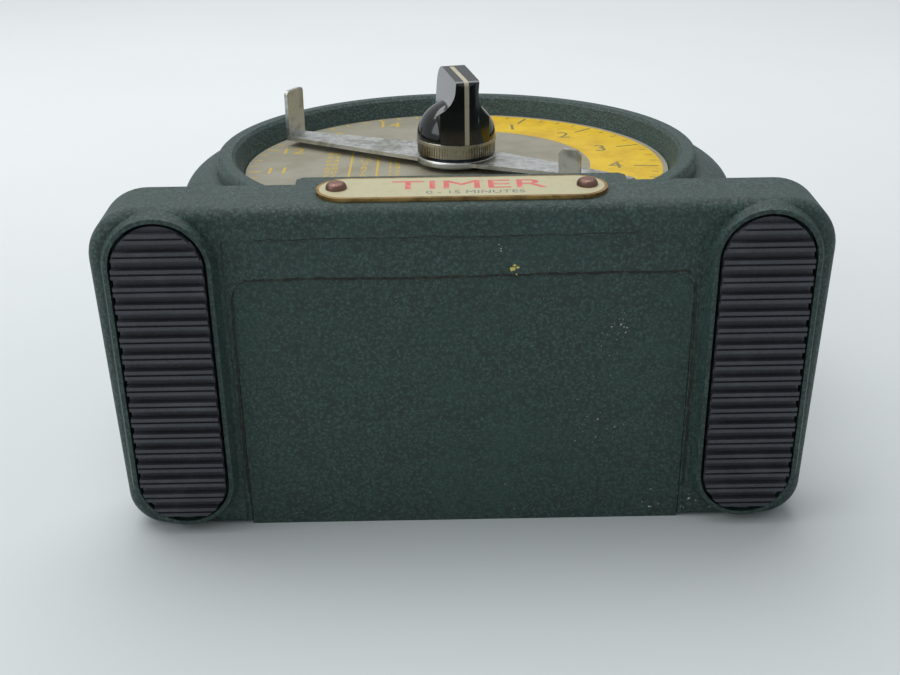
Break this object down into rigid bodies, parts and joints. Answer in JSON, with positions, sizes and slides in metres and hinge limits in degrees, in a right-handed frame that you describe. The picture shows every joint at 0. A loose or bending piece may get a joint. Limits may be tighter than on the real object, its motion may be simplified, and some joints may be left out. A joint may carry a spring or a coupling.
{
  "type": "darkroom interval timer",
  "caption": "Spring-wound interval timer in a round cast housing on a footed base, with a bar knob, a preset pointer lever, a recessed dial and a bell.",
  "frame": {"origin": "on the dial axis, in the plane of the flat back that the timer lies on", "axes": "+Z out of the dial, +Y towards twelve o'clock, -Y towards the footed underside, +X to the right of someone reading the dial"},
  "size_m": [0.167, 0.1627, 0.0957],
  "materials": {
    "green_enamel": "dark green granular enamel on a casting, worn and chipped at the edges",
    "green_enamel_cover": "dark green granular enamel",
    "black_enamel": "semi-matt dark enamel",
    "steel": "turned steel",
    "spring_steel": "blued spring steel",
    "black_rubber": "ribbed black rubber",
    "cream_print": "cream printed plate with a bare brass edge",
    "copper": "tarnished copper-coloured drive pins",
    "dial_print": "printed metal dial, warm grey with yellow print",
    "nickel": "nickel plate, tarnished in the knurling",
    "nickel_lever": "worn nickel plate with fine pitting",
    "brass": "clock brass",
    "bell_metal": "polished bell steel",
    "black_bakelite": "polished black phenolic",
    "cream_inlay": "cream filled line"
  },
  "bodies": {
    "root": {"housing": "green_enamel", "base_cover": "green_enamel_cover", "back_cover": "black_enamel", "back_cover_screws": "steel", "rubber_foot_left": "black_rubber", "rubber_foot_right": "black_rubber", "nameplate": "cream_print", "nameplate_pins": "copper", "dial_plate": "dial_print", "hub_bush": "nickel", "dial_nut": "steel", "friction_washer": "spring_steel", "movement_front_plate": "brass", "movement_back_plate": "brass", "movement_pillars": "brass", "pillar_screws": "steel", "movement_screws": "steel", "mainspring": "spring_steel", "mainspring_post": "steel", "hairspring": "spring_steel", "bell_gong": "bell_metal", "gong_post": "steel", "gong_screw": "steel"},
    "knob_and_arbor": {"main_arbor": "steel", "great_wheel": "brass", "ratchet_wheel": "steel", "click": "steel", "trip_cam": "brass", "knob": "black_bakelite", "knob_index_line": "cream_inlay", "knob_set_screw": "steel"},
    "lever": {"preset_lever": "nickel_lever"},
    "clamp": {"clamp_nut": "nickel"},
    "second": {"second_arbor": "steel", "second_wheel": "brass"},
    "third": {"third_arbor": "steel", "third_wheel": "brass"},
    "escape": {"escape_arbor": "steel", "escape_wheel": "brass"},
    "pallet": {"pallet_lever": "steel", "pallet_pins": "steel"},
    "balance": {"balance_arbor": "steel", "balance_wheel": "brass"},
    "hammer": {"hammer_arbor": "steel", "hammer_tail": "steel", "bell_hammer": "steel"}
  },
  "joints": [
    {"name": "knob_turn", "type": "hinge", "parent": "root", "child": "knob_and_arbor", "pos_m": [0, 0, 0], "axis": [0, 0, 1], "range_deg": [-189.5, 166.5]},
    {"name": "lever_set", "type": "hinge", "parent": "root", "child": "lever", "pos_m": [0, 0, 0], "axis": [0, 0, 1], "range_deg": [-225, 120.9]},
    {"name": "clamp_turn", "type": "hinge", "parent": "root", "child": "clamp", "pos_m": [0, 0, 0], "axis": [0, 0, 1], "range_deg": [0, 90]},
    {"name": "second_turn", "type": "hinge", "parent": "root", "child": "second", "pos_m": [0.018, 0.02145, 0], "axis": [0, 0, 1], "continuous": true},
    {"name": "third_turn", "type": "hinge", "parent": "root", "child": "third", "pos_m": [0.01184, 0.03836, 0], "axis": [0, 0, 1], "continuous": true},
    {"name": "escape_turn", "type": "hinge", "parent": "root", "child": "escape", "pos_m": [-0.00316, 0.03836, 0], "axis": [0, 0, 1], "continuous": true},
    {"name": "pallet_swing", "type": "hinge", "parent": "root", "child": "pallet", "pos_m": [-0.01303, 0.03477, 0], "axis": [0, 0, 1], "range_deg": [-2, 2]},
    {"name": "balance_swing", "type": "hinge", "parent": "root", "child": "balance", "pos_m": [-0.02449, 0.02674, 0], "axis": [0, 0, 1], "range_deg": [-150, 150], "stiffness_Nm_per_rad": 0.000043},
    {"name": "hammer_swing", "type": "hinge", "parent": "root", "child": "hammer", "pos_m": [0.0239, -0.02, 0], "axis": [0, 0, 1], "range_deg": [0, 12], "stiffness_Nm_per_rad": 0.004}
  ],
  "couplings": [
    {"joint": "second_turn", "follows": "knob_turn", "ratio": -6},
    {"joint": "third_turn", "follows": "knob_turn", "ratio": 30},
    {"joint": "escape_turn", "follows": "knob_turn", "ratio": -150}
  ]
}
